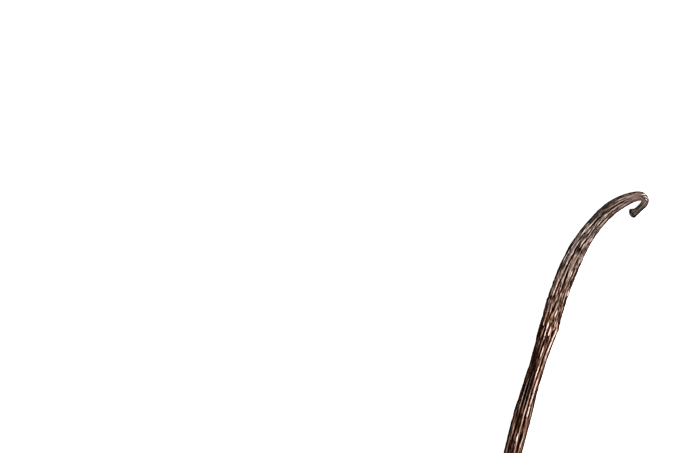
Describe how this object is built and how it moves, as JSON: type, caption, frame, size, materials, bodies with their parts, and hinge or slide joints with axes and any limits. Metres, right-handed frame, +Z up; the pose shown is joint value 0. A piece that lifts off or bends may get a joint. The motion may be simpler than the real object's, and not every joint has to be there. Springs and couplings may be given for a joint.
{
  "type": "vanilla pod",
  "caption": "Cured vanilla pod lying on its flat side: a long flattened wrinkled body that tapers to a blunt tip and to a hooked stalk.",
  "frame": {"origin": "under the middle of the pod's box, on the surface it lies on", "axes": "+Z up, +Y along the straight part of the body towards the hooked stalk, whose hook turns to +X"},
  "size_m": [0.0254, 0.1584, 0.0047],
  "materials": {
    "cured_skin": "satin"
  },
  "bodies": {
    "root": {"vanilla_pod": "cured_skin"}
  },
  "joints": []
}
